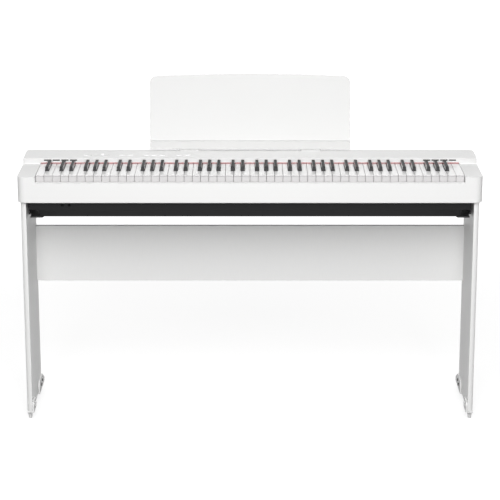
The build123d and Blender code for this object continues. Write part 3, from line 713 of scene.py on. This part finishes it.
def screw(shape, seat, radius, height):
    """Pan head with a cross recess."""
    head = scaled(SCREW_PROFILE, radius, height)
    loops = [round_loop(shape, seat, across, up) for across, up in head]
    loops += [cross_loop(shape, seat, radius, level * height) for level in RECESS_LEVELS]
    bridge(shape, loops)


def turned(shape, seat, profile):
    """Solid of revolution over a seat, from (radius, height) points that end at the rim or the middle."""
    verts = [shape.verts.new(seat @ Vector((radius, 0, height))) for radius, height in profile]
    edges = [shape.edges.new(pair) for pair in zip(verts, verts[1:])]
    axis = seat.to_3x3() @ Vector((0, 0, 1))
    bmesh.ops.spin(
        shape, geom=verts + edges, cent=seat.translation, axis=axis, angle=2 * math.pi, steps=TURNED_STEPS,
        use_merge=True,
    )
    bmesh.ops.remove_doubles(shape, verts=shape.verts, dist=WELD)


# Fittings

def inner_face(node, side):
    """X of a piece's face towards the middle of the instrument."""
    low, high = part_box(node)
    return high.x if side < 0 else low.x


def shoe_screws(end, spots, name, material):
    """Screws through the inner wall of two shoes into the side panels."""
    shape = bmesh.new()
    for word, side in ENDS:
        node = end + "_" + word + "_shoe"
        low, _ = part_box(node)
        for back, rise in spots:
            place = Vector((inner_face(node, side), low.y + back, low.z + rise))
            screw(shape, facing(place, (-side, 0, 0)), *SHOE_SCREW)
    add_piece(name, shape, material)


def bracket_screws(material):
    """Screws that hold each bracket's upright leg to its panel, and the ones up into the tray."""
    shape = bmesh.new()
    for word, side in ENDS:
        low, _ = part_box(word + "_bracket")
        panel = inner_face(word + "_side_panel", side)
        leg = panel - side * BRACKET_LEG
        for back in BRACKET_SCREW_BACKS:
            place = Vector((leg, low.y + back, low.z + BRACKET_SCREW_RISE))
            screw(shape, facing(place, (-side, 0, 0)), *BRACKET_SCREW)
            place = Vector((panel - side * HAND_SCREW_FROM_PANEL, low.y + back, low.z))
            screw(shape, facing(place, (0, 0, -1)), *HAND_SCREW)
    add_piece("bracket_screws", shape, material)


def tray_screws(material):
    """Two rows of screws in the tray's underside."""
    shape = bmesh.new()
    low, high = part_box("lower_case")
    for step in TRAY_SCREW_STEPS:
        for y in (low.y + TRAY_SCREW_INSET + TRAY_SLOPE, high.y - TRAY_SCREW_INSET - TRAY_SLOPE):
            seat = facing(Vector((step * TRAY_SCREW_PITCH, y, low.z)), (0, 0, -1))
            screw(shape, seat, *TRAY_SCREW)
    add_piece("tray_screws", shape, material)


def cam_covers(material):
    """Caps over the panel connectors in the rear of the cross panel."""
    shape = bmesh.new()
    low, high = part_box("back_panel")
    profile = scaled(CAM_COVER_PROFILE, CAM_COVER_RADIUS, CAM_COVER_HEIGHT)
    for _, side in ENDS:
        for z in (low.z + CAM_COVER_FROM_EDGE, high.z - CAM_COVER_FROM_EDGE):
            place = Vector((side * (high.x - CAM_COVER_FROM_END), high.y, z))
            turned(shape, facing(place, (0, 1, 0)), profile)
    add_piece("cam_covers", shape, material)


def socket_places():
    """Mouth, outward direction and bore of every plug socket."""
    for mount in frame["record"]["mounts"]:
        if mount["kind"] == "bore":
            axis = Vector(mount["axis"])
            mouth = Vector(mount["pos_m"]) + axis * mount["dims"]["length_mm"] * MM / 2
            yield mount["name"], mouth, axis, mount["dims"]["r_mm"] * MM


def socket_collars(material, pin_material):
    """Raised collar round each plug socket, and the pin of the power inlet."""
    shape = bmesh.new()
    for name, mouth, axis, bore in socket_places():
        rim = bore + COLLAR_WIDTH
        profile = (
            (bore, -COLLAR_PROUD), (bore, COLLAR_INNER), (bore + COLLAR_SLOPE, COLLAR_PROUD),
            (rim - COLLAR_SLOPE, COLLAR_PROUD), (rim, COLLAR_OUTER), (rim, 0),
        )
        turned(shape, facing(mouth, axis), profile)
        if name == "power_inlet":
            pin = bmesh.new()
            inside = facing(mouth - axis * SOCKET_LENGTH, axis)
            turned(pin, inside, ((PIN_RADIUS, 0), (PIN_RADIUS, PIN_LENGTH), (0, PIN_LENGTH + PIN_RADIUS)))
            add_piece("inlet_pin", pin, pin_material)
    add_piece("socket_collars", shape, material)


def port_backing(material):
    """Strip of cloth behind the sound ports of each end."""
    front = FASCIA_BACK + CLOTH_GAP
    for word, side in ENDS:
        shape = bmesh.new()
        x = side * PORT_MIDDLE
        low = Vector((x - PORT_HALF, front, PORT_LOW))
        high = Vector((x + PORT_HALF, front + CLOTH_THICK, PORT_LOW + PORT_HEIGHT))
        block(shape, low, high, CLOTH_EDGE)
        add_piece(word + "_port_cloth", shape, material)


def power_lamp(material):
    """Small lens beside the power button."""
    shape = bmesh.new()
    low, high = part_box("power_button")
    x = (low.x + high.x) / 2 + LENS_FROM_BUTTON
    y = (low.y + high.y) / 2
    seat = facing(Vector((x, y, high.z - BUTTON_PROUD)), (0, 0, 1))
    turned(shape, seat, scaled(LENS_PROFILE, LENS_RADIUS, LENS_RADIUS))
    add_piece("power_lamp", shape, material)


def slider_ticks(material):
    """Plain scale marks beside the volume slider."""
    shape = bmesh.new()
    low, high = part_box("volume_knob")
    middle = (low + high) / 2
    joints = frame["record"]["behaviour"]["joints"]
    start, end = next(joint["range_m"] for joint in joints if joint["child"] == "volume_knob")
    width, length, height = TICK_SIZE
    y = middle.y + TICK_FROM_SLOT
    z = TOP_PANEL + TOP_SLOPE * y
    for step in range(TICK_COUNT):
        x = middle.x + start + (end - start) * step / (TICK_COUNT - 1)
        low_corner = Vector((x - width / 2, y - length / 2, z - height))
        high_corner = Vector((x + width / 2, y + length / 2, z + height))
        block(shape, low_corner, high_corner, TICK_EDGE)
    add_piece("slider_ticks", shape, material)


def dress_frame(finishes):
    """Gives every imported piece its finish, with rounded copies where edges show."""
    bodies = frame["record"]["behaviour"]["bodies"]
    body_of = {node: body for body, nodes in bodies.items() for node in nodes}
    for part in frame["record"]["subparts"]:
        node, slot = part["node"], part["material_slot"]
        shown = shown_copy(node)
        if shown:
            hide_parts(node)
            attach(shown, body_of[node])
        else:
            shown = frame["nodes"][node]
        shown.data.materials.clear()
        shown.data.materials.append(finishes.get(node, finishes[slot]))


def build_piano():
    """Finishes by material slot, or by node where one piece differs, and then the small fittings."""
    white = case_white()
    black_screw = drawn_steel("black_screw", tone(0.05), tone(0.03), 0.38)
    finishes = {
        "white_board": board_laminate("board_laminate", 0.8),
        # Painted shade: dark grey on the cross panel's top faces, for the shadow under the case
        "back_panel": board_laminate("cross_panel_laminate_painted_shade", 0.26),
        "white_plastic": white,
        "black_plastic": tray_black(),
        "grey_plastic": frame_grey(),
        "black_steel": bracket_coat(),
        "steel_rod": drawn_steel("drawn_rod", tone(0.62), tone(0.52), 0.25),
        "hammer_weight": hammer_coat(),
        "grey_felt": felt("stop_felt", tone(0.22), tone(0.14)),
        "red_felt": felt("name_felt", tone(0.52, 0.012, 0.030), tone(0.36, 0.006, 0.016)),
        "circuit_board": board_green(),
        "speaker_black": speaker_coat(),
        "black_rubber": pad_rubber(),
        "control_plastic": control_white(),
        "white_key": key_white(),
        "black_key": key_black(),
        "music_rest": rest_white_painted_shade(),
    }
    dress_frame(finishes)
    shoe_screws("rear", REAR_SHOE_SCREWS, "rear_shoe_screws", black_screw)
    shoe_screws("front", FRONT_SHOE_SCREWS, "front_shoe_screws", white)
    bracket_screws(black_screw)
    tray_screws(black_screw)
    cam_covers(white)
    socket_collars(finishes["black_plastic"], finishes["steel_rod"])
    port_backing(port_cloth())
    power_lamp(lamp_lens())
    slider_ticks(tick_ink())


# Studio

def build_floor():
    """Wide white floor."""
    shape = bmesh.new()
    bmesh.ops.create_grid(shape, x_segments=2, y_segments=2, size=FLOOR_SIZE / 2)
    floor = piece_from("floor", shape)
    floor.data.materials.append(floor_white())


def add_lamp(name, kind, turn, height, settings):
    """Lamp that shines on the instrument from a turn round it, counted from the front, and a height."""
    turn, height = math.radians(turn), math.radians(height)
    flat = math.cos(height)
    direction = Vector((flat * math.sin(turn), -flat * math.cos(turn), math.sin(height)))
    lamp = bpy.data.lights.new(name, kind)
    for setting, value in settings.items():
        setattr(lamp, setting, value)
    made = bpy.data.objects.new(name, lamp)
    made.location = LAMP_AIM + direction * LAMP_DISTANCE
    made.rotation_euler = direction.to_track_quat("Z", "Y").to_euler()
    bpy.context.scene.collection.objects.link(made)
    return made


def build_lamps():
    """The large front lamp and the far lamps."""
    width, height = FRONT_SIZE
    large = {"shape": "RECTANGLE", "size": width, "size_y": height, "energy": FRONT_POWER}
    add_lamp("front_lamp", "AREA", 0, FRONT_RISE_DEGREES, large)
    for name, (strength, turn, rise, softness, shows) in FAR_LAMPS.items():
        far = {"energy": strength, "angle": math.radians(softness)}
        add_lamp(name, "SUN", turn, rise, far).visible_glossy = shows


def build_sky():
    """Sky that reads as white and lights the instrument softly, with dark flags and a pale wall."""
    sky = Finish(bpy.data.worlds.new("sky"))
    aim = sky.node("ShaderNodeTexCoord", output="Generated")
    across, away, up = (sky.node("ShaderNodeSeparateXYZ", None, {0: aim}, axis) for axis in "XYZ")
    flags = 1 - FLAG_DEPTH * sky.level(abs(across), FLAG_START, FLAG_END)
    wall = sky.level(away, WALL_START, WALL_END) * (1 - sky.level(up, WALL_TOP, WALL_FADE))
    strength = seen(sky) + (1 - seen(sky)) * (SKY * flags + WALL * wall)
    light = sky.node("ShaderNodeBackground", None, {"Color": tone(1.0), "Strength": strength})
    sky.node("ShaderNodeOutputWorld", None, {"Surface": light})
    bpy.context.scene.world = sky.owner
    bpy.context.scene.view_settings.view_transform = "Standard"


def build_camera():
    """Camera in front and above, at the picture's viewing angle."""
    lens = bpy.data.cameras.new("camera")
    lens.sensor_fit = "HORIZONTAL"
    lens.sensor_width = SENSOR
    lens.lens = FOCAL_PIXELS / PICTURE_WIDTH * SENSOR
    lens.clip_end = SIGHT
    made = bpy.data.objects.new("camera", lens)
    made.location = CAMERA_PLACE
    made.rotation_euler = (math.pi / 2 - CAMERA_PITCH, 0, 0)
    bpy.context.scene.collection.objects.link(made)
    bpy.context.scene.camera = made


build_piano()
build_floor()
build_lamps()
build_sky()
build_camera()
